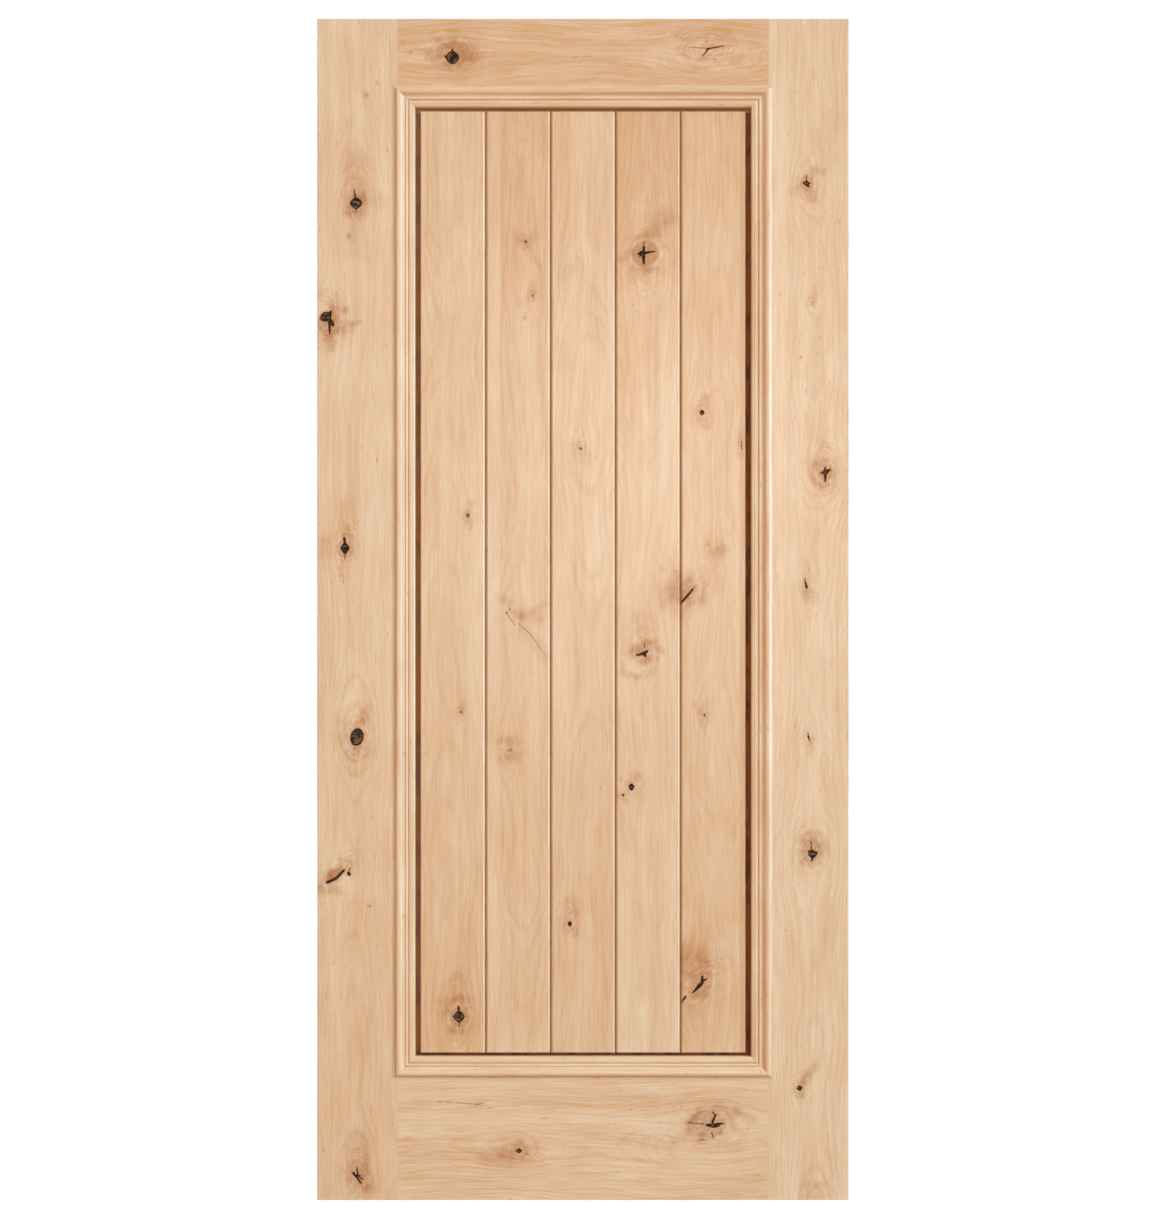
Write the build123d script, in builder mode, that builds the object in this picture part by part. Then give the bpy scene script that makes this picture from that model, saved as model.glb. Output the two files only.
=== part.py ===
import os

from build123d import *

# Panelled timber door leaf, in millimetres.
# X runs across the leaf from the hinge edge, Y through its thickness (the front looks along -Y), Z up.

# Leaf
door_width = 914.4
door_height = 2032.0
door_thickness = 44.45
stile_width = 138.0
top_rail_width = 122.0
bottom_rail_width = 216.5
leaf_arris = 1.5

# Plough round the inner edges of the frame, and the panel flange and stub tenons that enter it
flange_thickness = 12.0
flange_clearance = 0.2
plough_depth = 13.0
plough_end_gap = 1.0

# Panel of tongue-and-groove planks
plank_count = 5
panel_thickness = 33.5
side_reveal = 9.0
end_reveal = 5.5
field_arris = 1.2
groove_bevel = 3.8
tongue_thickness = 6.0
tongue_length = 7.0
tongue_clearance = 0.2
tongue_end_gap = 0.8

# Raised moulding, its members named from the outer edge towards the panel
moulding_lap = 8.0
toe_height = 0.6
outer_slope_width = 9.5
crest_height = 5.5
ogee_width = 12.0
ogee_foot_height = 1.2
bead_width = 3.5
bead_rise = 1.1
quirk_width = 2.5
quirk_depth = 1.2
lip_width = 6.0
lip_rise = 0.7
inner_round_width = 5.0
inner_round_drop = 4.0
seat_clearance = 0.3

# Sizes that follow from those above
half_thickness = door_thickness / 2
half_flange = flange_thickness / 2
half_plough = half_flange + flange_clearance
half_panel = panel_thickness / 2
entry_depth = plough_depth - plough_end_gap

opening_left = stile_width
opening_right = door_width - stile_width
opening_bottom = bottom_rail_width
opening_top = door_height - top_rail_width

bead_start = outer_slope_width + ogee_width
quirk_start = bead_start + bead_width
lip_start = quirk_start + quirk_width
inner_round_start = lip_start + lip_width
moulding_width = inner_round_start + inner_round_width
moulding_depth = half_thickness - half_flange - seat_clearance

moulding_left = opening_left - moulding_lap
moulding_right = opening_right + moulding_lap
moulding_bottom = opening_bottom - moulding_lap
moulding_top = opening_top + moulding_lap

field_left = moulding_left + moulding_width + side_reveal
field_right = moulding_right - moulding_width - side_reveal
field_bottom = moulding_bottom + moulding_width + end_reveal
field_top = moulding_top - moulding_width - end_reveal
flange_left = opening_left - entry_depth
flange_right = opening_right + entry_depth
flange_bottom = opening_bottom - entry_depth
flange_top = opening_top + entry_depth
plank_pitch = (field_right - field_left) / plank_count

os.makedirs("parts", exist_ok=True)


def save(piece, name):
    piece.label = name
    export_step(piece, f"parts/{name}.step")


def make_stile(name, outer_edge, inner_edge):
    """One upright of the frame, ploughed along its inner edge and eased along its outer one."""
    inward = 1 if inner_edge > outer_edge else -1
    with BuildPart() as stile:
        with BuildSketch():
            with BuildLine():
                Polyline(
                    (outer_edge, -half_thickness),
                    (inner_edge, -half_thickness),
                    (inner_edge, -half_plough),
                    (inner_edge - inward * plough_depth, -half_plough),
                    (inner_edge - inward * plough_depth, half_plough),
                    (inner_edge, half_plough),
                    (inner_edge, half_thickness),
                    (outer_edge, half_thickness),
                    close=True,
                )
            make_face()
        extrude(amount=door_height)
        uprights = stile.edges().filter_by(Axis.Z)
        outer_arrises = uprights.sort_by(Axis.X)[:2] if inward > 0 else uprights.sort_by(Axis.X)[-2:]
        fillet(outer_arrises, leaf_arris)
    save(stile.part, name)


def make_rail(name, outer_edge, inner_edge):
    """One crosspiece between the stiles, with a stub tenon at each end and a ploughed inner edge."""
    inward = 1 if inner_edge > outer_edge else -1
    plough_floor = inner_edge - inward * plough_depth
    with BuildPart() as rail:
        with BuildSketch(Plane.YZ.offset(opening_left)):
            with BuildLine():
                Polyline(
                    (-half_thickness, outer_edge),
                    (-half_thickness, inner_edge),
                    (-half_plough, inner_edge),
                    (-half_plough, plough_floor),
                    (half_plough, plough_floor),
                    (half_plough, inner_edge),
                    (half_thickness, inner_edge),
                    (half_thickness, outer_edge),
                    close=True,
                )
            make_face()
        extrude(amount=opening_right - opening_left)
        with BuildSketch(Plane.YZ.offset(flange_left)):
            with Locations((0, (outer_edge + plough_floor) / 2)):
                Rectangle(flange_thickness, abs(plough_floor - outer_edge))
        extrude(amount=flange_right - flange_left)
    save(rail.part, name)


def plank_edge(seam, outward, kind):
    """Points down one long edge of a plank, from its front face to its back face."""
    if kind == "flange":
        reach = flange_left if outward < 0 else flange_right
        half_edge = [
            (seam - outward * field_arris, -half_panel),
            (seam, -half_panel + field_arris),
            (seam, -half_flange),
            (reach, -half_flange),
        ]
    else:
        half_slot = tongue_thickness / 2
        slot_end = seam + tongue_length
        if kind == "groove":
            half_slot += tongue_clearance
            slot_end += tongue_end_gap
        half_edge = [
            (seam - outward * groove_bevel, -half_panel),
            (seam, -half_panel + groove_bevel),
            (seam, -half_slot),
            (slot_end, -half_slot),
        ]
    return half_edge + [(x, -y) for x, y in reversed(half_edge)]


def make_plank(number):
    """One plank, bevelled at its seams, its ends and any outer edge rebated to the panel flange."""
    left_seam = field_left + (number - 1) * plank_pitch
    right_seam = left_seam + plank_pitch
    left_kind = "flange" if number == 1 else "groove"
    right_kind = "flange" if number == plank_count else "tongue"
    outline = plank_edge(right_seam, 1, right_kind) + plank_edge(left_seam, -1, left_kind)[::-1]
    with BuildPart() as plank:
        with BuildSketch(Plane.XY.offset(flange_bottom)):
            with BuildLine():
                Polyline(*outline, close=True)
            make_face()
        extrude(amount=flange_top - flange_bottom)
        for field_end, tip in ((field_bottom, flange_bottom), (field_top, flange_top)):
            outward = 1 if tip > field_end else -1
            with BuildSketch(Plane.YZ.offset(flange_left)):
                with BuildLine():
                    Polyline(
                        (-half_panel, field_end - outward * field_arris),
                        (-half_panel + field_arris, field_end),
                        (-half_flange, field_end),
                        (-half_flange, tip),
                        (-half_panel, tip),
                        close=True,
                    )
                make_face()
                mirror(about=Plane.YZ)
            extrude(amount=flange_right - flange_left, mode=Mode.SUBTRACT)
    save(plank.part, f"plank_{number}")


def make_moulding(name, outer_middle, inward, face, half_length):
    """One raised moulding: its profile laps the frame face and drops beside the panel flange."""
    outward = Vector(0, face, 0)
    along = inward.cross(outward)
    origin = outer_middle + outward * half_thickness
    crest = (outer_slope_width, crest_height)
    slope_middle = (outer_slope_width / 2, (toe_height + crest_height) / 2)
    ogee_foot = (bead_start, ogee_foot_height)
    ogee_middle = ((crest[0] + ogee_foot[0]) / 2, (crest[1] + ogee_foot[1]) / 2)
    with BuildPart() as moulding:
        with BuildSketch(Plane(origin, x_dir=inward, z_dir=along)):
            with BuildLine():
                Line((0, 0), (0, toe_height))
                hollow = TangentArc((0, toe_height), slope_middle, tangent=(1, 0))
                TangentArc(slope_middle, crest, tangent=hollow % 1)
                shoulder = TangentArc(crest, ogee_middle, tangent=(1, 0))
                TangentArc(ogee_middle, ogee_foot, tangent=shoulder % 1)
                ThreePointArc(
                    ogee_foot,
                    (bead_start + bead_width / 2, ogee_foot_height + bead_rise),
                    (quirk_start, ogee_foot_height),
                )
                Polyline(
                    (quirk_start, ogee_foot_height),
                    (quirk_start + quirk_width / 2, ogee_foot_height - quirk_depth),
                    (lip_start, ogee_foot_height),
                )
                ThreePointArc(
                    (lip_start, ogee_foot_height),
                    (lip_start + lip_width / 2, ogee_foot_height + lip_rise),
                    (inner_round_start, ogee_foot_height),
                )
                TangentArc(
                    (moulding_width, ogee_foot_height - inner_round_drop),
                    (inner_round_start, ogee_foot_height),
                    tangent=(0, 1),
                )
                Polyline(
                    (moulding_width, ogee_foot_height - inner_round_drop),
                    (moulding_width, -moulding_depth),
                    (moulding_lap, -moulding_depth),
                    (moulding_lap, 0),
                    (0, 0),
                )
            make_face()
        extrude(amount=half_length, both=True)
        for way in (along, along * -1):
            split(bisect_by=Plane(origin + way * half_length, z_dir=way + inward), keep=Keep.BOTTOM)
    save(moulding.part, name)


make_stile("left_stile", 0, opening_left)
make_stile("right_stile", door_width, opening_right)
make_rail("top_rail", door_height, opening_top)
make_rail("bottom_rail", 0, opening_bottom)

for number in range(1, plank_count + 1):
    make_plank(number)

middle_x = (moulding_left + moulding_right) / 2
middle_z = (moulding_bottom + moulding_top) / 2
half_wide = (moulding_right - moulding_left) / 2
half_high = (moulding_top - moulding_bottom) / 2
runs = (
    ("left", Vector(moulding_left, 0, middle_z), Vector(1, 0, 0), half_high),
    ("right", Vector(moulding_right, 0, middle_z), Vector(-1, 0, 0), half_high),
    ("bottom", Vector(middle_x, 0, moulding_bottom), Vector(0, 0, 1), half_wide),
    ("top", Vector(middle_x, 0, moulding_top), Vector(0, 0, -1), half_wide),
)
for side, face in (("front", -1), ("back", 1)):
    for run, outer_middle, inward, half_length in runs:
        make_moulding(f"{side}_moulding_{run}", outer_middle, inward, face, half_length)
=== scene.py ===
import math

import bmesh
import bpy
import numpy as np
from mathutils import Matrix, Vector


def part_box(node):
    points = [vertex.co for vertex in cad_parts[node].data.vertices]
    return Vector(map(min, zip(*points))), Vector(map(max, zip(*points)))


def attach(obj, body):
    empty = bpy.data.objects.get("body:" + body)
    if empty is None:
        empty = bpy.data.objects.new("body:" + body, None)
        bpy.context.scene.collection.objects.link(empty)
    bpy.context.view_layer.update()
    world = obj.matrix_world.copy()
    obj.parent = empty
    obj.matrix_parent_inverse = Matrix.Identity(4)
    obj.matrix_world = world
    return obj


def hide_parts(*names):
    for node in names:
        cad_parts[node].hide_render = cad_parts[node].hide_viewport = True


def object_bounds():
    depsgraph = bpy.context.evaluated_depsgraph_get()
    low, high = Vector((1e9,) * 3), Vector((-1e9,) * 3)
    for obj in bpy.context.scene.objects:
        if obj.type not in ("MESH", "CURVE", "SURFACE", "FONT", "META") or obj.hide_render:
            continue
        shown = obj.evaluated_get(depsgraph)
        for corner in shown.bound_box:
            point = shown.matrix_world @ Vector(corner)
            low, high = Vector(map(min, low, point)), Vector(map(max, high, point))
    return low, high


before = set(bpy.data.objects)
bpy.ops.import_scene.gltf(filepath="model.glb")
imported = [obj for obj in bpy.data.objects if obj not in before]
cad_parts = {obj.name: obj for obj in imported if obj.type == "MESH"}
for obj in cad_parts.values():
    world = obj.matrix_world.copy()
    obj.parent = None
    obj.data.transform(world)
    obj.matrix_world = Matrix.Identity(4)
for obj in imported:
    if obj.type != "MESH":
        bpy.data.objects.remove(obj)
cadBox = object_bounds()
mm = 0.001
noLimit = 1e6
farOff = 9.0    # distance to marks where there are none, in millimetres

# Sizes of the timber members, in millimetres, as the joiner cut them
joinery = {
    "arris": 1.5,              # rounding of the leaf's upright edges
    "flange": 12.0,            # thickness of the panel's rim and of the rails' stub tenons
    "ploughSlack": 0.2,        # play each side of the rim in its plough
    "ploughDepth": 13.0,
    "bevel": 3.8,              # legs of the V at each seam
    "tongue": (7.0, 6.0),      # length and thickness
    "tongueSlack": (0.8, 0.2),
    "fieldArris": 1.2,
    "endReveal": 5.5,          # gap between moulding and panel at top and bottom
    "seatGap": 0.3,            # under the moulding, over the panel's rim
    "arrisRows": 6,            # points round the arris
    "edgeRows": 8,             # points across a plain edge
}


def boxMm(node):
    low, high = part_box(node)
    return np.array(low) / mm, np.array(high) / mm


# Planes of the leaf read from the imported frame
leafLow, leafHigh = (np.array(corner) / mm for corner in cadBox)
stileLow, stileHigh = boxMm("left_stile")
rightStileLow = boxMm("right_stile")[0]
topRailLow = boxMm("top_rail")[0]
bottomRailHigh = boxMm("bottom_rail")[1]
plankLow, plankHigh = boxMm("plank_2")
nextPlankLow = boxMm("plank_3")[0]
mouldLow, mouldHigh = boxMm("front_moulding_left")
sillMouldLow = boxMm("front_moulding_bottom")[0]

halfLeaf = stileHigh[1]
halfPanel = plankHigh[1]
halfFlange = joinery["flange"] / 2
halfPlough = halfFlange + joinery["ploughSlack"]
openLeft, openRight = stileHigh[0], rightStileLow[0]
openFoot, openHead = bottomRailHigh[2], topRailLow[2]
footTip, headTip = plankLow[2], plankHigh[2]
pitch = nextPlankLow[0] - plankLow[0]
fieldLeft = plankLow[0] - pitch
fieldMiddle = (leafLow[0] + leafHigh[0]) / 2
fieldHalf = fieldMiddle - fieldLeft
mouldWide = mouldHigh[0] - mouldLow[0]
fieldFoot = sillMouldLow[2] + mouldWide + joinery["endReveal"]
fieldHead = boxMm("front_moulding_top")[1][2] - mouldWide - joinery["endReveal"]
print("frame read: leaf", np.round(leafHigh - leafLow, 2), "mm, plank pitch", round(pitch, 2))


# Shader wiring

def linear(red, green, blue):
    # screen colour, 0 to 255, as the light value that a shader takes
    parts = np.array((red, green, blue)) / 255
    light = np.where(parts <= 0.04045, parts / 12.92, ((parts + 0.055) / 1.055) ** 2.4)
    return (*light.tolist(), 1.0)


class Wire:
    # an output socket; arithmetic on it adds Math nodes to its finish
    def __init__(self, finish, socket):
        self.finish = finish
        self.socket = socket

    def maths(self, operation, first, second=0.0):
        node = self.finish.node("ShaderNodeMath", {"operation": operation}, {0: first, 1: second})
        return Wire(self.finish, node.outputs[0])

    def __add__(self, other):
        return self.maths("ADD", self, other)

    def __radd__(self, other):
        return self.maths("ADD", other, self)

    def __sub__(self, other):
        return self.maths("SUBTRACT", self, other)

    def __rsub__(self, other):
        return self.maths("SUBTRACT", other, self)

    def __mul__(self, other):
        return self.maths("MULTIPLY", self, other)

    def __rmul__(self, other):
        return self.maths("MULTIPLY", other, self)

    def __pow__(self, other):
        return self.maths("POWER", self, other)

    def sine(self):
        return self.maths("SINE", self)


class Finish:
    # a material or sky, and the few kinds of node that these finishes are wired from
    def __init__(self, owner, shader="Principled BSDF"):
        self.owner = owner
        owner.use_nodes = True
        self.tree = owner.node_tree
        self.shader = self.tree.nodes[shader]

    def node(self, kind, settings=None, sockets=None):
        made = self.tree.nodes.new(kind)
        for name, value in (settings or {}).items():
            setattr(made, name, value)
        for key, value in (sockets or {}).items():
            if isinstance(value, Wire):
                self.tree.links.new(value.socket, made.inputs[key])
            else:
                made.inputs[key].default_value = value
        return made

    def attribute(self, name, output="Fac"):
        return Wire(self, self.node("ShaderNodeAttribute", {"attribute_name": name}).outputs[output])

    def objectPlace(self):
        return Wire(self, self.node("ShaderNodeTexCoord").outputs["Object"])

    def onCamera(self):
        return Wire(self, self.node("ShaderNodeLightPath").outputs["Is Camera Ray"])

    def stretch(self, place, scales):
        node = self.node("ShaderNodeVectorMath", {"operation": "MULTIPLY"}, {0: place, 1: scales})
        return Wire(self, node.outputs[0])

    def noise(self, place, scales, detail=2.0, rough=0.5):
        # cloudy values about 0.5, drawn out along the axes with small scales
        sockets = {"Vector": self.stretch(place, scales), "Scale": 1.0, "Detail": detail, "Roughness": rough}
        return Wire(self, self.node("ShaderNodeTexNoise", {}, sockets).outputs[0])

    def ease(self, value, start, end):
        # 0 at start, 1 at end, smooth between
        sockets = {"Value": value, "From Min": start, "From Max": end}
        node = self.node("ShaderNodeMapRange", {"interpolation_type": "SMOOTHSTEP"}, sockets)
        return Wire(self, node.outputs[0])

    def blend(self, share, first, second):
        node = self.node("ShaderNodeMix", {"data_type": "RGBA"}, {0: share, 6: first, 7: second})
        return Wire(self, node.outputs[2])

    def bump(self, height, strength, distance):
        node = self.node("ShaderNodeBump", {}, {"Height": height, "Strength": strength, "Distance": distance})
        return Wire(self, node.outputs[0])

    def feed(self, **sockets):
        for name, value in sockets.items():
            key = name.replace("_", " ")
            if isinstance(value, Wire):
                self.tree.links.new(value.socket, self.shader.inputs[key])
            else:
                self.shader.inputs[key].default_value = value
        return self.owner


alder = {
    "pale": linear(236, 208, 177),
    "warm": linear(216, 168, 123),
    "rose": linear(229, 186, 156),
    "line": linear(196, 138, 88),
    "halo": linear(184, 116, 64),
    "disc": linear(178, 118, 70),
    "scar": linear(92, 38, 6),
    "void": linear(22, 11, 5),
    "bark": linear(132, 90, 56),
    "rim": linear(88, 48, 24),
    "fleck": linear(170, 112, 66),
    "shade": linear(150, 90, 44),
    # colour of the darker patches of painted shade in the recess
    "deepShade": linear(84, 50, 26),
    "roughness": 0.34,
    "lacquer": 0.15,
    "lacquerRoughness": 0.28,
    "tone": 0.42,                         # of plain wood, from 0 pale to 1 warm
    "lines": (1.1, 0.9, 0.7, 0.7),        # weights of hair, strand, streak and band in the tone
    "clouds": 0.9,
    "ripples": (2.0, 2.2, 1.4),           # weights of the ripples round a knot in tone, halo and disc
    "roseShare": 0.45,
    "fleckShare": 0.5,
    "scarShare": 0.92,
    "barkShare": 0.85,
    "shadeShare": 0.92,
    "bump": (0.18, 0.0004),               # strength and height, in metres
}

# Noises drawn out along the grain: scales across, through and along the board, detail, roughness
grains = {
    "hair": ((620, 620, 26), 3, 0.65),
    "strand": ((270, 270, 10), 3, 0.6),
    "streak": ((110, 110, 4), 3, 0.5),
    "band": ((26, 26, 1.6), 2, 0.5),
    "cloud": ((22, 22, 9), 3, 0.55),
    "blotch": ((210, 210, 12), 2, 0.5),
    "dots": ((300, 300, 55), 1, 0.5),
    "ragged": ((700, 700, 480), 3, 0.5),
    "crumbs": ((420, 420, 300), 3, 0.65),
    # noise for the patches of darker painted shade
    "shadeMottle": ((60, 60, 22), 3, 0.6),
}


def alderFinish():
    # tone runs from pale to warm; ring lines, stains, scars, holes and shade go over it
    wood = Finish(bpy.data.materials.new("knottyAlder"))
    fibre = wood.attribute("fibre", "Vector")
    hair, strand, streak, band, cloud, blotch, dots, ragged, crumbs, shadeMottle = (
        wood.noise(fibre, *grain) for grain in grains.values())
    near = wood.attribute("near")
    ripple = (wood.noise(wood.attribute("eye", "Vector"), (1, 1, 1), 3, 0.6) - 0.5) * near
    inTone, inHalo, inDisc = (weight * ripple for weight in alder["ripples"])
    phase = wood.attribute("ring") + 0.5 * (streak - 0.5)
    ringLine = (0.5 + 0.5 * (phase * (2 * math.pi)).sine()) ** 4
    parts = zip(alder["lines"], (hair, strand, streak, band))
    lines = sum(weight * (noise - 0.5) for weight, noise in parts)
    tone = alder["tone"] + lines * wood.attribute("figure") + alder["clouds"] * (cloud - 0.5)
    tone = tone + inTone + wood.attribute("tint")
    colour = wood.blend(tone, alder["pale"], alder["warm"])
    blush = wood.ease(blotch, 0.46, 0.64)
    colour = wood.blend(blush * alder["roseShare"], colour, alder["rose"])
    halo = wood.attribute("halo")
    ringShare = ringLine * (0.05 + 0.14 * wood.ease(band, 0.4, 0.65) + 0.3 * halo)
    colour = wood.blend(ringShare, colour, alder["line"])
    stain = halo * (0.9 + 0.9 * (streak - 0.5) + 0.9 * (strand - 0.5) + inHalo)
    colour = wood.blend(stain, colour, alder["halo"])
    disc = wood.attribute("disc") * (0.85 + 0.6 * (hair - 0.5) + inDisc)
    colour = wood.blend(disc, colour, alder["disc"])
    fleck = wood.ease(dots, 0.735, 0.78)
    colour = wood.blend(fleck * alder["fleckShare"], colour, alder["fleck"])
    edge = 1.5 * (ragged - 0.5)
    scar = wood.ease(wood.attribute("scar") + edge, 0.7, -0.5)
    colour = wood.blend(scar * alder["scarShare"], colour, alder["scar"])
    gap = wood.attribute("void") + edge
    colour = wood.blend(wood.ease(gap, 3.2, 0.6) * 0.3, colour, alder["halo"])
    colour = wood.blend(wood.ease(gap, 0.9, -0.3), colour, alder["rim"])
    hole = wood.ease(gap, 0.05, -0.75)
    mottle = wood.ease(crumbs, 0.46, 0.6)
    inside = wood.ease(wood.attribute("void"), -0.8, -2.6)
    filling = wood.blend(mottle * inside * alder["barkShare"], alder["void"], alder["bark"])
    colour = wood.blend(hole, colour, filling)
    dull = wood.ease(wood.attribute("void"), 1.3, 0.4)    # walls of the holes
    # painted shade: grooves, recess and the mouldings' inner walls are darkened, with darker patches of
    # painted shade where the noise is high
    shade = wood.attribute("shade")
    deepShade = wood.ease(shadeMottle, 0.42, 0.66) * wood.ease(shade, 0.79, 0.85)
    dark = wood.blend(deepShade, alder["shade"], alder["deepShade"])
    colour = wood.blend(shade * alder["shadeShare"], colour, dark)
    roughness = alder["roughness"] + 0.14 * (hair - 0.5) + 0.6 * dull + 0.5 * shade
    normal = wood.bump(0.6 * hair + 0.3 * streak - 0.35 * fleck, *alder["bump"])
    lacquer = alder["lacquer"] * (1 - shade) * (1 - dull)
    wood.feed(Coat_Weight=lacquer, Coat_Roughness=alder["lacquerRoughness"])
    return wood.feed(Base_Color=colour, Roughness=roughness, Normal=normal)


endGrain = {
    "ring": 4.5,                    # width of a ring, in millimetres
    "pith": (0.06, 0.05),           # in metres
    "pores": 900, "sway": 30,       # scales of the noises
    "swayRings": 2.0,
    "tone": (0.45, 0.35, 0.8),      # plain, and the weights of rings and pores
    "roughness": 0.7,
}


def endGrainFinish():
    # rings round a pith behind the face, with fine pores
    wood = Finish(bpy.data.materials.new("alderEndGrain"))
    place = wood.objectPlace()
    pores, sway = (wood.noise(place, (endGrain[name],) * 3, 2) for name in ("pores", "sway"))
    split = wood.node("ShaderNodeSeparateXYZ", {}, {0: place})
    across, deep = (Wire(wood, split.outputs[i]) for i in (0, 1))
    reach = across - endGrain["pith"][0]
    behind = deep - endGrain["pith"][1]
    radius = (reach * reach + behind * behind) ** 0.5
    phase = radius * (1 / (endGrain["ring"] * mm)) + endGrain["swayRings"] * sway
    rings = 0.5 + 0.5 * (phase * (2 * math.pi)).sine()
    plain, ringWeight, poreWeight = endGrain["tone"]
    tone = plain + ringWeight * (rings - 0.5) + poreWeight * (pores - 0.5)
    colour = wood.blend(tone, alder["warm"], alder["line"])
    return wood.feed(Base_Color=colour, Roughness=endGrain["roughness"])


print("finishes start")
faceWood = alderFinish()
endWood = endGrainFinish()


# Timber fields: how the grain of a board runs, and where its knots lie

def slowWave(along, across, seed, longest, terms=4):
    # sum of sines along the grain, each half as long and half as high as the one before
    draw = np.random.default_rng(seed)
    total = np.zeros(np.broadcast(along, across).shape)
    for term in range(terms):
        length = longest / 2**term * draw.uniform(0.8, 1.25)
        lean = draw.uniform(-1, 1) / 220
        total = total + np.sin(2 * np.pi * (along / length + across * lean) + draw.uniform(0, 6.3)) / 2**term
    return total


plainKnot = {
    "core": (0, 0),        # half width and height of the heart
    "tilt": 0,             # its turn, in degrees
    "square": 1.7,         # its power: 1 a diamond, 2 an ellipse
    "sound": False,        # the heart is brown and whole, not an open hole
    "halo": (10, 0.5),     # radius and strength of the stain round it
    "disc": (0, 0),        # the same for the branch's own wood
    "oval": (1.1, 0),      # length over width of halo and disc, and their turn
    "shift": (0, 0),       # their middle
    "cracks": (),          # open strokes (x0, z0, width0, x1, z1, width1) about the place
    "scars": (),           # brown strokes
    "stains": (),          # soft strokes with a strength, pale where it is below zero
}


def knot(x, z, **marks):
    # x, z: place on the leaf
    return {**plainKnot, "x": x, "z": z, **marks}


def strokeGap(x, z, stroke):
    # distance to a tapered stroke: to the nearest point of its line, less half its width there
    x0, z0, wide0, x1, z1, wide1 = stroke
    run = (x1 - x0) ** 2 + (z1 - z0) ** 2
    share = np.clip(((x - x0) * (x1 - x0) + (z - z0) * (z1 - z0)) / run, 0, 1)
    off = np.hypot(x - x0 - share * (x1 - x0), z - z0 - share * (z1 - z0))
    return off - (wide0 + share * (wide1 - wide0)) / 2


def coreGap(x, z, knotSpec):
    # distance to a tilted superellipse, by the share of its half size
    halfWide, halfHigh = knotSpec["core"]
    turn = math.radians(knotSpec["tilt"])
    u = x * math.cos(turn) + z * math.sin(turn)
    v = z * math.cos(turn) - x * math.sin(turn)
    power = knotSpec["square"]
    share = (np.abs(u / halfWide) ** power + np.abs(v / halfHigh) ** power) ** (1 / power)
    return (share - 1) * min(halfWide, halfHigh)


def strokeReach(strokes):
    # furthest ends of the strokes, sideways and upwards
    ends = np.array([(stroke[:2], stroke[3:5]) for stroke in strokes]).reshape(-1, 2)
    return np.abs(ends).max(axis=0, initial=0)


def swell(side, lengthwise, seed):
    # sines 8 to 30 mm long in drawn directions: the unevenness of rings and stains
    draw = np.random.default_rng(seed)
    total = np.zeros(side.shape)
    for length in (30, 19, 12, 8):
        turn, start = draw.uniform(0, 6.3, 2)
        way = side * math.cos(turn) + lengthwise * math.sin(turn)
        total = total + np.sin(2 * np.pi * way / length + start) * length / 30
    return total


# How a knot changes the wood round it; reaches are in radii of its halo
knotWood = {
    "part": (0.8, 1.5, 3.0),                # how far the grain parts, and its reach across and along
    "lift": (0.35, 1.2, 2.0),               # how far the rings rise, and its reach across and along
    "rays": ((9, 1.0), (16, 0.7)),          # number and height of the rays round it
    "rayShares": (0.15, 0.1),               # their share in halo and disc
    "uneven": (0.02, 0.2, 0.04, 0.12),      # share of the swell in radius, halo, ripples and stains
    "ripples": (0.46, 1.9, 1.7),            # how close outwards and round it, and their reach
    "discRim": 2.6,                         # softness of the disc's rim, in millimetres
    "paleRing": (0.3, 1.18, 2.2),           # strength, radius by the disc's, width in millimetres
    "soft": (0.3, 2.5),                     # softness of a stain: share of its widths, and millimetres
}

# How far the noises of one board, times its seed, and of one stave lie from the next, in metres
grainShift = {"board": (0.37, 0.61, 2.9), "stave": (0.21, 0.13, 1.7)}


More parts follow.
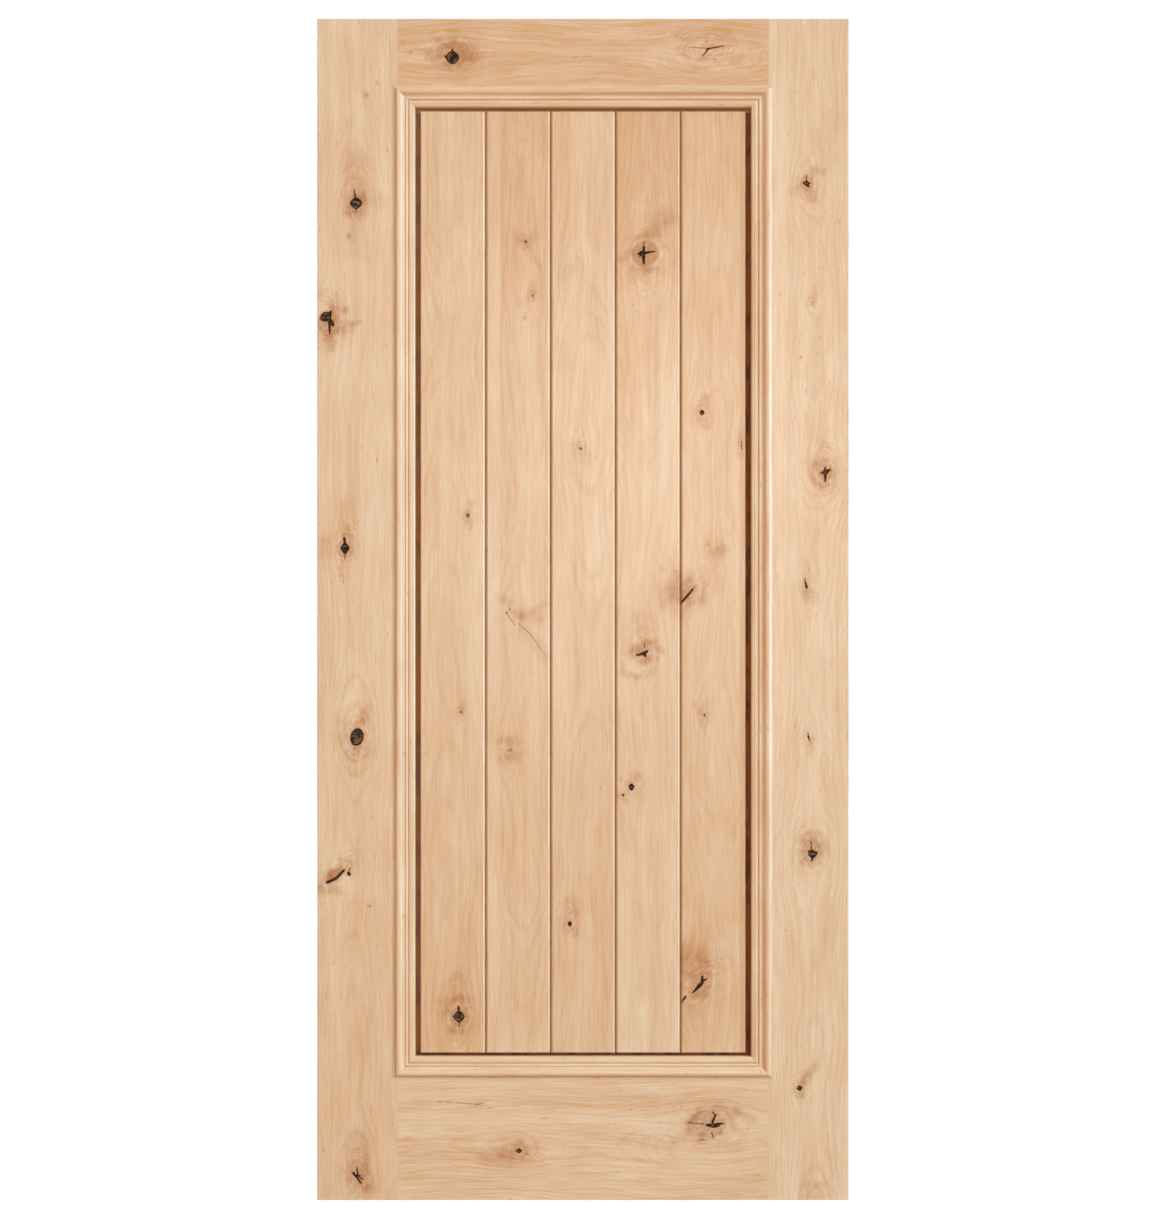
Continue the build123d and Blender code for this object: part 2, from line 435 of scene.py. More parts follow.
def timberFields(across, deep, along, upright, board):
    # the grain parts round each knot, and the rings, far from a leaning pith, lift towards it
    part, partAcross, partAlong = knotWood["part"]
    rise, riseAcross, riseAlong = knotWood["lift"]
    rayHalo, rayDisc = knotWood["rayShares"]
    unevenRadius, unevenHalo, unevenRipple, unevenStain = knotWood["uneven"]
    outwards, roundIt, rippleReach = knotWood["ripples"]
    pale, paleRadius, paleWide = knotWood["paleRing"]
    softShare, softLeast = knotWood["soft"]
    x, z = (across, along) if upright else (along, across)
    flow = across + board["sway"] * slowWave(along, across, board["seed"], board["swayLength"])
    halo, disc, lift, near = np.zeros((4, *flow.shape))
    void, scar = np.full((2, *flow.shape), farOff)
    eye = np.zeros((*flow.shape, 3))
    tint = np.interp(along, *zip(*board["tones"]))
    for order, spec in enumerate(board["knots"]):
        dx, dz = x - spec["x"], z - spec["z"]
        side, lengthwise = (dx, dz) if upright else (dz, dx)
        size, strength = spec["halo"]
        push = np.exp(-((side / (partAcross * size)) ** 2) - (lengthwise / (partAlong * size)) ** 2)
        flow = flow - part * side * push
        uneven = swell(side, lengthwise, 100 * board["seed"] + order)
        offX, offZ = dx - spec["shift"][0], dz - spec["shift"][1]
        stretch, turn = spec["oval"][0], math.radians(spec["oval"][1])
        long = (offZ * math.cos(turn) - offX * math.sin(turn)) / stretch
        wide = offX * math.cos(turn) + offZ * math.sin(turn)
        radius = np.hypot(wide, long) * (1 + unevenRadius * uneven)
        angle = np.arctan2(wide, long)
        rays = sum(height * np.sin(count * angle + turns * order)
                   for turns, (count, height) in enumerate(knotWood["rays"], 1))
        glow = np.exp(-((radius / size) ** 2)) * (1 + rayHalo * rays)
        halo = 1 - (1 - halo) * (1 - strength * np.clip(glow * (1 + unevenHalo * uneven), 0, 1))
        if stretch < 1.2:    # ripples of a round knot are drawn out along the grain
            long, wide = lengthwise / 1.7, side
        ringed = np.hypot(wide, long) * (1 + unevenRipple * uneven)
        bearing = np.arctan2(wide, long)
        around = np.stack((outwards * ringed, roundIt * np.cos(bearing) + 5 * order,
                           roundIt * np.sin(bearing)), axis=-1)
        closer = np.exp(-((ringed / (rippleReach * size)) ** 2))
        closer = closer * (1.0 if spec["core"][0] or spec["cracks"] else 0.5)
        eye = np.where((closer > near)[..., None], around, eye)
        near = np.maximum(near, closer)
        apart = np.hypot(side / riseAcross, lengthwise / riseAlong) / size
        lift = lift + rise * size * strength * np.exp(-apart)
        if spec["disc"][1]:
            rim, depth = spec["disc"]
            within = np.clip((rim - radius) / knotWood["discRim"] + 0.5, 0, 1)
            disc = np.maximum(disc, depth * within * (1 + rayDisc * rays))
            tint = tint - pale * np.exp(-(((radius - paleRadius * rim) / paleWide) ** 2))
        if spec["core"][0] and spec["sound"]:
            scar = np.minimum(scar, coreGap(dx, dz, spec))
        elif spec["core"][0]:
            void = np.minimum(void, coreGap(dx, dz, spec))
        for stroke in spec["cracks"]:
            void = np.minimum(void, strokeGap(dx, dz, stroke))
        for stroke in spec["scars"]:
            scar = np.minimum(scar, strokeGap(dx, dz, stroke))
        for *stroke, depth in spec["stains"]:
            soft = softShare * (stroke[2] + stroke[5]) + softLeast
            beyond = np.maximum(strokeGap(dx, dz, stroke), 0) / soft
            smear = np.exp(-(beyond**2)) * (1 + unevenStain * uneven)
            halo = 1 - (1 - halo) * (1 - np.clip(max(depth, 0) * smear, 0, 1))
            tint = tint + min(depth, 0) * smear
    pithAcross, pithDeep = board["pith"]
    heave = board["heave"] * slowWave(along, 0, board["seed"] + 1, board["heaveLength"])
    lean = board["taper"] * along + heave
    ring = (np.hypot(flow - pithAcross, deep - pithDeep) + lean) / board["ring"] - lift
    fibre = np.stack((flow, deep + np.zeros(flow.shape), along + np.zeros(flow.shape)), axis=-1) * mm
    fibre = fibre + np.array(grainShift["board"]) * board["seed"]
    for edge, change in board["staves"]:
        beyond = across > edge
        tint = tint + change * beyond
        fibre = fibre + beyond[..., None] * np.array(grainShift["stave"])
    # the board's shade function gives painted shade, and a painted highlight that pales the tint
    shade, bevelGlint = board["shade"](across, deep, along)
    tint = tint - bevelGlint
    figure = np.full(flow.shape, board["figure"])
    return dict(fibre=fibre, ring=ring, halo=halo, disc=disc, void=void, scar=scar, tint=tint, shade=shade,
                eye=eye, near=near, figure=figure)


# Meshes: a closed profile carried along a board

# Spacing of the mesh, in millimetres, and how far the open knots are sunk
relief = {
    "coarseRow": 20.0,
    "coarseColumn": 5.0,
    "smear": 3.0,              # over the stains
    "fine": 1.3,               # over hearts, cracks and scars
    "fadeOut": (2.5, 10),      # from fine to coarse: share of the fine reach, and millimetres
    "voidDepth": 1.6,
    "voidWall": (0.3, 1.3),    # start of the wall outside the rim, and its width
    "weld": 2e-6,              # points closer than this are one, in metres
    "sharp": 30,               # degrees from which an edge stays sharp
}

# Flat map of a sweep: start and size of the sweep and of its two ends in a band above, side by side
mapLayout = {"sweep": ((0.02, 0.03), (0.96, 0.88)), "ends": ((0.02, 0.95), (0.46, 0.04)), "endStep": 0.5}


def crowded(low, high, coarse, spots):
    # stations from low to high, drawn together round the spots (place, reach, spacing there)
    sample = np.linspace(low, high, 6000)
    spacing = np.full(sample.shape, coarse)
    share, least = relief["fadeOut"]
    for place, reach, fine in spots:
        near = np.clip((np.abs(sample - place) - reach) / (share * reach + least), 0, 1)
        spacing = np.minimum(spacing, fine + (coarse - fine) * near)
    count = np.concatenate(([0], np.cumsum(np.diff(sample) / spacing[:-1])))
    number = int(math.ceil(count[-1])) + 1
    return np.interp(np.linspace(0, count[-1], number), count, sample)


def stripMap(points):
    # u round the profile, v along, cut into strips side by side
    (startU, startV), (sizeU, sizeV) = mapLayout["sweep"]
    middle = points[points.shape[0] // 2]
    girth = np.concatenate(([0], np.cumsum(np.linalg.norm(np.roll(middle, -1, axis=0) - middle, axis=1))))
    steps = np.linalg.norm(np.diff(points, axis=0), axis=2).max(axis=1)
    travel = np.concatenate(([0], np.cumsum(steps)))
    strips = max(1, round(math.sqrt(travel[-1] / girth[-1])))
    length = travel[-1] / strips
    strip = np.minimum((travel[:-1] + travel[1:]) / 2 // length, strips - 1)[:, None]
    u = (girth / girth[-1] * sizeU + startU)[None, :]
    left, right = (u[:, :-1] + strip) / strips, (u[:, 1:] + strip) / strips
    low = (travel[:-1, None] - strip * length) / length * sizeV + startV + 0 * left
    high = (travel[1:, None] - strip * length) / length * sizeV + startV + 0 * left
    quads = np.stack((left, low, right, low, right, high, left, high), axis=-1).reshape(-1, 4, 2)
    ends = []
    (startU, startV), endSize = mapLayout["ends"]
    for place, end in enumerate((points[0], points[-1])):
        spread = np.ptp(end, axis=0)
        axes = np.argsort(spread)[::-1][:2]
        flat = (end[:, axes] - end[:, axes].min(axis=0)) / spread[axes]
        ends.append(flat * endSize + (startU + mapLayout["endStep"] * place, startV))
    return quads, ends


def sweepMesh(name, points, fields, facing):
    # points: rows along the run by columns round the profile; quads between them, and a face on each end
    rows, columns = points.shape[:2]
    index = np.arange(rows * columns).reshape(rows, columns)
    after = np.roll(index, -1, axis=1)
    quads = np.stack((index[:-1], after[:-1], after[1:], index[1:]), axis=-1).reshape(-1, 4)
    quadMap, endMaps = stripMap(points)
    ends = [index[0][::-1], index[-1]]
    endMaps[0] = endMaps[0][::-1]
    if facing < 0:
        quads, quadMap = quads[:, ::-1], quadMap[:, ::-1]
        ends, endMaps = [end[::-1] for end in ends], [flat[::-1] for flat in endMaps]
    corners = np.concatenate((quads.ravel(), *ends))
    totals = np.concatenate((np.full(len(quads), 4), [columns, columns]))
    mesh = bpy.data.meshes.new(name)
    mesh.vertices.add(rows * columns)
    mesh.vertices.foreach_set("co", (points * mm).ravel())
    mesh.loops.add(len(corners))
    mesh.loops.foreach_set("vertex_index", corners)
    mesh.polygons.add(len(totals))
    mesh.polygons.foreach_set("loop_start", np.concatenate(([0], np.cumsum(totals)[:-1])))
    mesh.polygons.foreach_set("loop_total", totals)
    mesh.polygons.foreach_set("material_index", (totals != 4).astype(np.int32))
    mesh.polygons.foreach_set("use_smooth", np.ones(len(totals), dtype=bool))
    for key, values in fields.items():
        if values.ndim == 3:
            layer = mesh.attributes.new(key, "FLOAT_VECTOR", "POINT")
            layer.data.foreach_set("vector", values.ravel())
        else:
            layer = mesh.attributes.new(key, "FLOAT", "POINT")
            layer.data.foreach_set("value", values.ravel())
    flatMap = np.concatenate((quadMap.reshape(-1, 2), *endMaps))
    mesh.uv_layers.new(name="OFBake").uv.foreach_set("vector", flatMap.ravel())
    mesh.update(calc_edges=True)
    return mesh


def putInScene(name, data):
    placed = bpy.data.objects.new(name, data)
    bpy.context.scene.collection.objects.link(placed)
    return placed


def finishPiece(name, mesh, node):
    # doubles left by the squeezed ends are merged
    work = bmesh.new()
    work.from_mesh(mesh)
    bmesh.ops.remove_doubles(work, verts=work.verts, dist=relief["weld"])
    work.to_mesh(mesh)
    work.free()
    mesh.set_sharp_from_angle(angle=math.radians(relief["sharp"]))
    mesh.validate()
    mesh.materials.append(faceWood)
    mesh.materials.append(endWood)
    piece = putInScene(name, mesh)
    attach(piece, "root")
    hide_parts(node)


def noShade(across, deep, along):
    plain = np.zeros(np.broadcast(across, deep).shape)
    return plain, plain


def carveDepth(void):
    # smooth step from the rim of a void to its floor
    start, wide = relief["voidWall"]
    share = np.clip((start - void) / wide, 0, 1)
    return relief["voidDepth"] * share * share * (3 - 2 * share)


plainBoard = {"slot": "frame_wood", "staves": [], "figure": 1.0, "shade": noShade}


def makeBoard(board, loopOf, stationSpan, squeezes, upright=True):
    # loopOf(columns) gives the profile (across, deep, faces); squeezes(stations) gives the stations along the
    # board and the limits of deep and across at each
    board = {**plainBoard, **board}
    name = board["node"]
    low, high = board["columns"]
    acrossSpots = [(edge, 2, relief["fine"]) for edge, change in board["staves"]]
    alongSpots = []
    side, lengthwise = (0, 1) if upright else (1, 0)
    for spec in board["knots"]:
        place = (spec["x"], spec["z"])
        marks = np.maximum(strokeReach((*spec["cracks"], *spec["scars"])), np.array(spec["core"]) + 2)
        smears = strokeReach(spec["stains"]) + 2
        acrossSpots.append((place[side], marks[side], relief["fine"]))
        alongSpots.append((place[lengthwise], marks[lengthwise], relief["fine"]))
        acrossSpots.append((place[side], smears[side], relief["smear"]))
        alongSpots.append((place[lengthwise], smears[lengthwise], 1.5 * relief["smear"]))
    columns = crowded(low, high, relief["coarseColumn"], acrossSpots)
    across, deep, faces = loopOf(columns)
    middle = crowded(*stationSpan, relief["coarseRow"], alongSpots)
    along, deepLimit, acrossLow, acrossHigh = squeezes(middle)
    across = np.clip(across[None, :], acrossLow[:, None], acrossHigh[:, None])
    deep = np.clip(deep[None, :], -deepLimit[:, None], deepLimit[:, None])
    along = along[:, None] + np.zeros(across.shape)
    fields = timberFields(across, deep, along, upright, board)
    deep = deep - faces[None, :] * carveDepth(fields["void"])
    if upright:
        points = np.stack((across, deep, along), axis=-1)
    else:
        points = np.stack((along, deep, across), axis=-1)
    mesh = sweepMesh(f"{name}_timber", points, fields, 1 if upright else -1)
    finishPiece(f"{name}_timber", mesh, name)
    print("board", name, points.shape[:2], "triangles", 2 * points.shape[0] * points.shape[1])


def joinLoop(front, frontDeep, highEdge, lowEdge):
    # front face, then the high edge from front to back, the back face, and the low edge from back to front;
    # faces: -1 on the front, 1 on the back, 0 on the edges
    highEdge, lowEdge = np.array(highEdge), np.array(lowEdge)
    across = np.concatenate((front, highEdge[:, 0], front[::-1], lowEdge[:, 0]))
    deep = np.concatenate((frontDeep, highEdge[:, 1], -frontDeep[::-1], lowEdge[:, 1]))
    faces = np.repeat((-1.0, 0.0, 1.0, 0.0), (len(front), len(highEdge), len(front), len(lowEdge)))
    return across, deep, faces


def ploughEdge(outer, inner):
    # section of the plough from front to back
    floorAt = inner - math.copysign(joinery["ploughDepth"], inner - outer)
    return [(inner, -halfPlough), (floorAt, -halfPlough), (floorAt, halfPlough), (inner, halfPlough)]


def plainEdge(outer, half):
    return [(outer, row) for row in np.linspace(-half, half, joinery["edgeRows"])[1:-1]]


# Stiles

leftStile = {
    "node": "left_stile", "seed": 3, "tones": [(250, 0.1), (1000, -0.08)],
    "columns": (stileLow[0], stileHigh[0]),
    "sway": 2.5, "swayLength": 900, "pith": (64, 34), "taper": 0.010, "heave": 9, "heaveLength": 1500,
    "ring": 4.6,
    "knots": [
        knot(66.5, 1714.8, core=(10.5, 10), square=1.5, halo=(22, 0.57), disc=(16.5, 0.32),
             cracks=[(-1.5, 15.5, 1.4, -1, 7.5, 2.9)],
             scars=[(-3, 23, 2.8, -1.5, 10.5, 2.8), (0.5, -9.5, 2.4, 0.5, -15.5, 1.7)],
             stains=[(-1.5, 27.5, 15.5, -1.5, 69, 22.4, 0.28), (8.5, 14, 6.9, 14, 8.5, 5.2, 0.5),
                     (-12, -14, 6.9, 10.5, -15.5, 5.2, 0.42), (0, -24, 8.6, 1.5, -77.5, 15.5, 0.2),
                     (27.5, 10.5, 10.3, 44.5, 3.5, 10.3, 0.18)]),
        knot(14.1, 1519.6, core=(9.6, 7.9), tilt=32, square=1.8, halo=(31, 0.48), disc=(20, 0.36),
             shift=(7.5, -11),
             cracks=[(9.5, 9.5, 2.4, 7.5, -7, 4.8), (10, -9, 6.2, 12.5, -14, 5.5),
                     (6.5, -8.5, 4.1, 7.5, -29, 2.1), (7.5, 6.5, 4.5, -0.5, -0.5, 12.5),
                     (6, -6, 6, -0.5, -0.5, 12.5)],
             stains=[(12, 6, 6.9, 14, -6, 6.9, 0.6), (13, 14, 5.2, 34.5, 12, 3.4, 0.5),
                     (21.5, -24, 6.9, 41.5, -20.5, 5.2, 0.4), (6, -34.5, 8.6, 9.5, -53.5, 5.2, 0.42),
                     (-7.5, -19, 12, 0, -26, 12, 0.35), (-8.5, 39.5, 13.8, 8.5, 34.5, 13.8, 0.2),
                     (26.5, 1.5, 3.8, 31, -12, 3.8, -0.5), (17, -21.5, 2.8, 32.5, -15.5, 2.8, -0.4),
                     (38, -10.5, 1.7, 48, -13, 1.7, 0.35), (48, -13, 1.7, 60, -7.5, 1.7, 0.35)]),
        knot(47.6, 1121.3, core=(7.9, 10.7), square=1.2, halo=(20, 0.46), disc=(14.5, 0.32),
             cracks=[(-1, 16.5, 4.1, -0.5, 7, 2.8)],
             scars=[(0, -10.5, 2.8, 0, -19, 1.7)],
             stains=[(0, 24, 6.9, 5, 32.5, 5.2, 0.38), (5, 34.5, 13.8, 7, 69, 20.6, 0.18),
                     (-34.5, 10.5, 10.3, -38, -7, 10.3, 0.2), (0, -27.5, 5.2, 0, -44.5, 10.3, 0.22)]),
        knot(68.2, 796.2, core=(11.2, 15), tilt=-14, square=2.0, halo=(24, 0.34), disc=(17, 0.16),
             scars=[(-3, -18, 2.4, -3, -20.5, 2.1)],
             stains=[(3.5, 22.5, 8.6, 12, 36, 5.2, 0.48), (12, 36, 5.2, 19, 51.5, 5.2, 0.25),
                     (-7, -22.5, 8.6, -10.5, -27.5, 6.9, 0.42), (10.5, -22.5, 8.6, 24, -26, 5.2, 0.3),
                     (-24, 17, 13.8, -27.5, 0, 13.8, 0.14), (-1.5, -31, 6.9, -3.5, -55, 13.8, 0.16)]),
        knot(35.6, 557.1, halo=(20, 0.23), disc=(6, 0.55), oval=(2.7, -54), shift=(-6, 1.5),
             cracks=[(-18.5, -10.5, 4.3, -3.5, -4, 4.5), (-3.5, -4, 4.5, 10, 10, 3.4),
                     (18, 5, 4.8, 19.5, 3, 4.8)],
             scars=[(18.5, 5, 2.4, 20, 14, 1.7)],
             stains=[(18, 8.5, 4.3, 20.5, 24, 5.2, 0.4), (7, 15.5, 5.2, 10.5, 22.5, 5.2, 0.25),
                     (-31, -22.5, 6.9, 3.5, -26, 3.4, 0.4), (-15.5, -17, 2.4, 17, 1.5, 2.4, -0.45),
                     (-17, -6.5, 5, -5.5, 3.5, 7.5, 0.75), (-5.5, 3.5, 7.5, 6, 11, 4.5, 0.75)]),
        knot(69.9, 41.0, halo=(24.5, 0.46), disc=(9.5, 0.35), shift=(5, -3.5),
             cracks=[(-8, 5.5, 3.8, 5.5, -12, 2.1), (-2, 14, 1.7, 0, 0, 2.4), (-6, 1.5, 2.6, 3.5, 0.5, 2.1)],
             scars=[(0, 0, 2.8, 7.5, -5, 2.4)],
             stains=[(0, 20.5, 17.2, 1.5, 58.5, 22.4, 0.32), (10.5, -14, 8.6, 24, -22.5, 6.9, 0.35),
                     (-20.5, 7, 6.9, -14, -3.5, 6.9, 0.25)]),
        knot(84.9, 1901.3, sound=True, core=(0.9, 1.5), halo=(5, 0.4)),
        knot(54.5, 1658.1, sound=True, core=(1, 1.2), halo=(5.5, 0.34)),
        knot(90.6, 505.5, sound=True, core=(0.9, 1.2), halo=(5, 0.34)),
    ],
}

rightStile = {
    "node": "right_stile", "seed": 8, "tones": [(0, -0.3), (500, -0.16)],
    "columns": (rightStileLow[0], leafHigh[0]),
    "sway": 3.0, "swayLength": 1100, "pith": (858, 40), "taper": -0.012, "heave": 10, "heaveLength": 1300,
    "ring": 5.0,
    "knots": [
        knot(841.5, 1749.2, core=(7.2, 5.8), square=0.9, halo=(20, 0.46), disc=(11, 0.42),
             cracks=[(1.5, -1.5, 4.1, 3.5, -5, 3.1)],
             scars=[(0, 7, 2.4, 0.5, 14, 1.4)],
             stains=[(14, 22.5, 5.2, 27.5, 19, 4.3, 0.4), (5, -14, 8.6, 10.5, -24, 6.9, 0.3),
                     (-14, -10.5, 5.2, -20.5, -14, 5.2, 0.2)]),
        knot(874.2, 1252.1, core=(7.2, 4.8), tilt=20, square=1.1, halo=(26.5, 0.52), disc=(14.5, 0.4),
             cracks=[(-8, -1.5, 1.7, 0, 0, 5.5), (-1, 8.5, 1.4, 0, 0, 4.5),
                     (-0.5, -1.5, 5.2, -0.5, -15.5, 2.1), (4.5, 3, 4.1, 7, 3.5, 3.4)],
             stains=[(-17, 15.5, 4.3, -3.5, 19, 5.2, 0.5), (-22.5, 7, 3.4, -22.5, -7, 3.4, 0.35),
                     (-17, -15.5, 5.2, -5, -20.5, 5.2, 0.45), (14, 7, 3.4, 14, -7, 3.4, 0.35),
                     (-1.5, -19, 4.3, -5, -27.5, 3.4, 0.4), (-3.5, 27.5, 6.9, -1.5, 44.5, 8.6, 0.2),
                     (-15.5, -3.5, 2.6, -8.5, -14, 2.6, -0.4)]),
        knot(839.8, 1059.4, halo=(13.5, 0.34),
             cracks=[(-0.5, 5, 1.7, 2, -5.5, 3.4)],
             scars=[(-1, 10.5, 1.4, -0.5, 5, 2.1)],
             stains=[(0, 20.5, 8.6, 1.5, 34.5, 12, 0.18), (5, -12, 5.2, 15.5, -20.5, 5.2, 0.35),
                     (0, -14, 3.4, 1.5, -27.5, 5.2, 0.3)]),
        knot(845.0, 796.2, halo=(11, 0.23),
             cracks=[(-0.5, 2.5, 1.9, 1, -3, 1.9)],
             scars=[(-1, 8.5, 1.4, 0, 1.5, 2.4), (0.5, -1.5, 2.4, 3, -8.5, 1.4)],
             stains=[(7, -3.5, 2.1, 5, -10.5, 2.1, 0.25), (0, -14, 3.4, 3.5, -27.5, 6.9, 0.15)]),
        knot(851.9, 594.9, core=(7.6, 7.6), square=1.3, halo=(29, 0.48), disc=(17, 0.42), oval=(1.25, 0),
             shift=(-2.5, 7),
             cracks=[(-5.5, 5, 4.1, -2.5, 0, 5.8), (7, 3, 3.1, 2.5, -1, 5.8), (-0.5, -7, 3.4, -1, -12, 1.4)],
             scars=[(-2, 21.5, 3.1, -2, 20, 3.1), (-2, 20.5, 1.5, -2, 7, 2.8)],
             stains=[(14, 7, 8.6, 20.5, 14, 6.9, 0.45), (-12, -14, 6.9, -3.5, -15.5, 5.2, 0.4),
                     (-15.5, 24, 5.2, -5, 32.5, 5.2, 0.35), (0, 32.5, 5.2, 8.5, 32.5, 5.2, 0.4)]),
        knot(829.5, 192.4, core=(5.3, 4.8), tilt=15, square=1.15, halo=(13.5, 0.4),
             stains=[(5, 8.5, 4.3, 14, 20.5, 5.2, 0.45), (15.5, 24, 5.2, 24, 34.5, 4.3, 0.3),
                     (-1.5, -10.5, 5.2, 3.5, -12, 5.2, 0.35)]),
        knot(851.9, 1544.5, sound=True, core=(1, 1.4), halo=(9, 0.34),
             stains=[(1.5, 8.5, 3.4, 7, 15.5, 3.4, 0.25)]),
        knot(832.1, 1449.9, sound=True, core=(0.9, 1.2), halo=(5, 0.34)),
        knot(857.0, 4.9, halo=(26.5, 0.29),
             stains=[(-17, 20.5, 3.4, 14, 24, 3.4, 0.2)]),
    ],
}


def stileLoop(columns, outer, inner):
    # the front falls away over the outer arris by a quarter circle; the inner edge holds the plough
    arris = joinery["arris"]
    turn = np.linspace(0, np.pi / 2, joinery["arrisRows"])
    rounding = arris * (1 - np.sin(turn))
    deepHere = -halfLeaf + arris * (1 - np.cos(turn))
    plough, plain = ploughEdge(outer, inner), plainEdge(outer, halfLeaf - arris)
    if inner > outer:
        body = columns[columns > outer + arris]
        front = np.concatenate((outer + rounding[::-1], body))
        frontDeep = np.concatenate((deepHere[::-1], np.full(len(body), -halfLeaf)))
        return joinLoop(front, frontDeep, plough, plain[::-1])
    body = columns[columns < outer - arris]
    front = np.concatenate((body, outer - rounding))
    frontDeep = np.concatenate((np.full(len(body), -halfLeaf), deepHere))
    return joinLoop(front, frontDeep, plain, plough[::-1])


def plainEnds(stations):
    # no squeeze: the profile is the same from end to end
    wide = np.full(len(stations), noLimit)
    return stations, wide, -wide, wide


for stile, outer, inner in ((leftStile, leafLow[0], openLeft), (rightStile, leafHigh[0], openRight)):
    makeBoard(stile, lambda columns: stileLoop(columns, outer, inner), (leafLow[2], leafHigh[2]), plainEnds)


# Rails

topRail = {
    "node": "top_rail", "seed": 5, "tones": [(0, 0.42)],
    "columns": (openHead, leafHigh[2]),
    "figure": 1.35, "sway": 2.2, "swayLength": 520, "pith": (1975, 30), "taper": 0.012, "heave": 6,
    "heaveLength": 700, "ring": 5.2,
    "knots": [
        knot(232.2, 1965.5, core=(11.7, 11.7), square=1.5, halo=(31, 0.52), disc=(20, 0.36), oval=(1.35, 90),
             shift=(1, 8.5),
             cracks=[(-14.5, 3, 1.4, -7.5, 1.5, 4.1), (0, 15, 1.4, 0, 8.5, 4.1)],
             stains=[(24, 10.5, 15.5, 31, 3.5, 12, 0.45), (14, 2.5, 2.6, 34.5, 1.5, 3.4, 0.5),
                     (-38, 5, 8.6, -27.5, 1.5, 5.2, 0.35), (0, 24, 5.2, 1.5, 38, 10.3, 0.3),
                     (10.5, -10.5, 5.2, 20.5, -5, 3.4, 0.45), (-41.5, 24, 5.2, -34.5, 14, 5.2, -0.4),
                     (-17, -14, 3.4, -3.5, -19, 3.4, 0.35)]),
        knot(671.4, 1979.8, core=(2.8, 1.7), tilt=8, square=1.3, halo=(34, 0.23), oval=(1.9, 90),
             cracks=[(1.5, 1, 2.2, 27.5, 5.5, 0.9), (2, 1, 2.1, -8.5, -11.5, 1)],
             scars=[(1.5, 1.5, 1.5, -31.5, 3.5, 0.9)],
             stains=[(-51.5, 26, 5.2, 34.5, 29, 5.2, 0.24), (-27.5, -14, 3.4, 10.5, -20.5, 3.4, 0.2),
                     (-38, -7, 2.8, -34.5, 8.5, 2.8, 0.2)]),
    ],
}

bottomRail = {
    "node": "bottom_rail", "seed": 6, "tones": [(0, -0.05)],
    "columns": (leafLow[2], openFoot),
    "figure": 1.35, "sway": 3.0, "swayLength": 600, "pith": (95, 36), "taper": -0.010, "heave": 7,
    "heaveLength": 760, "ring": 5.6,
    "knots": [
        knot(346.6, 84.7, core=(5.7, 4.5), square=1.1, halo=(18, 0.46), oval=(1.7, 90),
             stains=[(-31, -7, 5.2, -10.5, -3.5, 5.2, 0.42), (-10.5, 12, 2.6, 7, 14, 2.6, 0.35),
                     (-20.5, -12, 3.4, 17, -12, 3.4, 0.2), (-60, -8.5, 8.6, -17, -10.5, 8.6, 0.2)]),
        knot(681.7, 130.4, halo=(34, 0.44), disc=(23, 0.42), oval=(1.45, 90), shift=(-12, 0.5),
             cracks=[(-11.5, -1.5, 4.1, 0, -2.5, 7.6), (0, -2.5, 7.6, 7.5, -1, 6.9),
                     (7.5, 0, 5.2, 14, 1, 2.4), (-2, 3.5, 3.8, 3, 15.5, 2.8)],
             scars=[(3, 15.5, 3.1, -1.5, 21, 2.4), (14, 1.5, 2.4, 20.5, 1, 1.4),
                    (-44.5, 3, 1.4, -17, 0.5, 1.7), (-3.5, -14, 1.7, 0, -24, 1.4)],
             stains=[(-44.5, 3.5, 2.6, -24, 20.5, 2.6, 0.45), (-24, 22.5, 3.4, -3.5, 24, 3.4, 0.4),
                     (24, 14, 5.2, 38, -3.5, 5.2, 0.3), (-41.5, -14, 6.9, -20.5, -22.5, 5.2, 0.4),
                     (-20.5, -24, 3.4, -3.5, -22.5, 3.4, 0.45), (-14, 15.5, 3.4, -10.5, 5, 3.4, -0.4),
                     (24, -17, 8.6, 31, -19, 6.9, -0.35), (-20.5, -10.5, 2.1, -14, -3.5, 2.1, -0.4),
                     (7, -8.5, 2.6, 12, -15.5, 2.1, 0.4), (3.5, 27.5, 4.3, 41.5, 20.5, 5.2, 0.3),
                     (41.5, 20.5, 5.2, 69, 8.5, 5.2, 0.3)]),
        knot(277.2, 164.8, sound=True, core=(1.7, 1), halo=(6.5, 0.4),
             scars=[(-1.5, 0, 1, -69, 5, 0.6), (1.5, 1, 1, 20.5, 7.5, 0.6)]),
    ],
}


def railLoop(columns, outer, inner):
    # a rectangle with the plough sunk in its inner edge
    plough, plain = ploughEdge(outer, inner), plainEdge(outer, halfLeaf)
    frontDeep = np.full(len(columns), -halfLeaf)
    if inner > outer:
        return joinLoop(columns, frontDeep, plough, plain[::-1])
    return joinLoop(columns, frontDeep, plain, plough[::-1])


def tenonEnds(outer, inner):
    # past each shoulder the rail is squeezed to its stub tenon
    floorAt = ploughEdge(outer, inner)[1][0]
    tipLeft, tipRight = (corner[0] for corner in boxMm("top_rail"))

    def limits(stations):
        along = np.concatenate(([tipLeft, openLeft], stations, [openRight, tipRight]))
        tenon = np.array([True, True, *[False] * len(stations), True, True])
        deepLimit = np.where(tenon, halfFlange, noLimit)
        low = np.where(tenon, min(outer, floorAt), -noLimit)
        high = np.where(tenon, max(outer, floorAt), noLimit)
        return along, deepLimit, low, high
    return limits


for rail, outer, inner in ((topRail, leafHigh[2], openHead), (bottomRail, leafLow[2], openFoot)):
    makeBoard(rail, lambda columns: railLoop(columns, outer, inner), (openLeft, openRight),
              tenonEnds(outer, inner), upright=False)


# Planks

